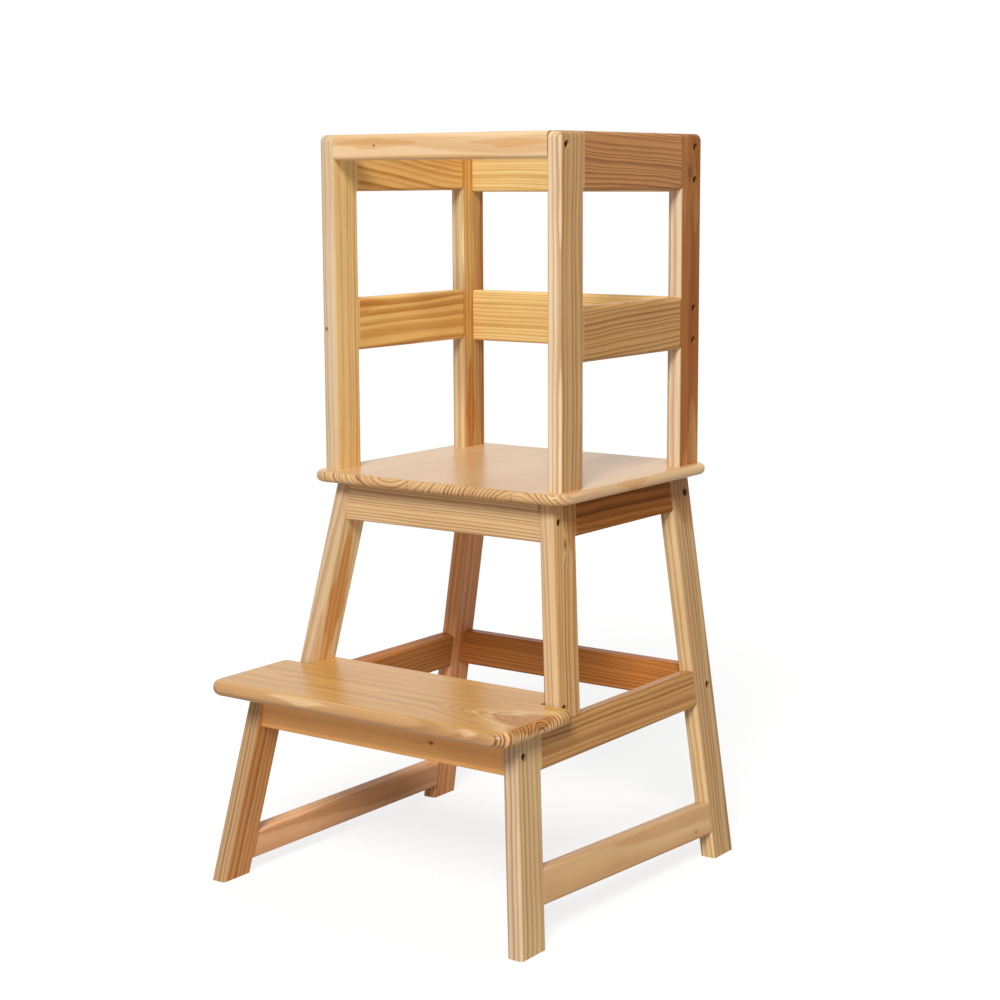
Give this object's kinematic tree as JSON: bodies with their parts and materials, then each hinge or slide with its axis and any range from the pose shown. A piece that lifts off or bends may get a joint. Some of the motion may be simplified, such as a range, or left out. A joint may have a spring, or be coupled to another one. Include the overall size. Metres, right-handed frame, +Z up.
{
  "type": "toddler kitchen helper stool",
  "caption": "Pine toddler kitchen helper stool: splayed stepped base with a step board, a standing platform and a guard cage of posts, rails and a front handrail.",
  "frame": {"origin": "on the floor, in the middle of the stool's width and depth", "axes": "+Z up, -Y towards the step side where the child climbs up, +X to the right when facing the stool from the step side"},
  "size_m": [0.4572, 0.4874, 0.884],
  "materials": {
    "cage_pine": "satin",
    "base_pine": "satin",
    "board_pine": "satin",
    "dowel_beech": "matt",
    "bolt_steel": "dark satin"
  },
  "bodies": {
    "root": {"cage_post_front_left": "cage_pine", "cage_post_front_right": "cage_pine", "cage_post_rear_left": "cage_pine", "cage_post_rear_right": "cage_pine", "cage_handrail_front": "cage_pine", "cage_top_rail_left": "cage_pine", "cage_top_rail_right": "cage_pine", "cage_top_rail_back": "cage_pine", "cage_middle_rail_left": "cage_pine", "cage_middle_rail_right": "cage_pine", "cage_middle_rail_back": "cage_pine", "platform_board": "board_pine", "upper_apron_front": "base_pine", "upper_apron_back": "base_pine", "upper_apron_left": "base_pine", "upper_apron_right": "base_pine", "rear_leg_left": "base_pine", "rear_leg_right": "base_pine", "upper_front_leg_left": "base_pine", "upper_front_leg_right": "base_pine", "step_leg_left": "base_pine", "step_leg_right": "base_pine", "side_rail_left": "base_pine", "side_rail_right": "base_pine", "back_rail_middle": "base_pine", "bottom_stretcher_left": "base_pine", "bottom_stretcher_right": "base_pine", "step_apron": "base_pine", "step_board": "board_pine", "cage_frame_dowels": "dowel_beech", "base_frame_dowels": "dowel_beech", "step_board_dowels": "dowel_beech", "cage_bolts": "bolt_steel", "base_bolts": "bolt_steel", "step_board_bolts": "bolt_steel", "post_foot_bolts": "bolt_steel", "platform_bolts": "bolt_steel"}
  },
  "joints": []
}
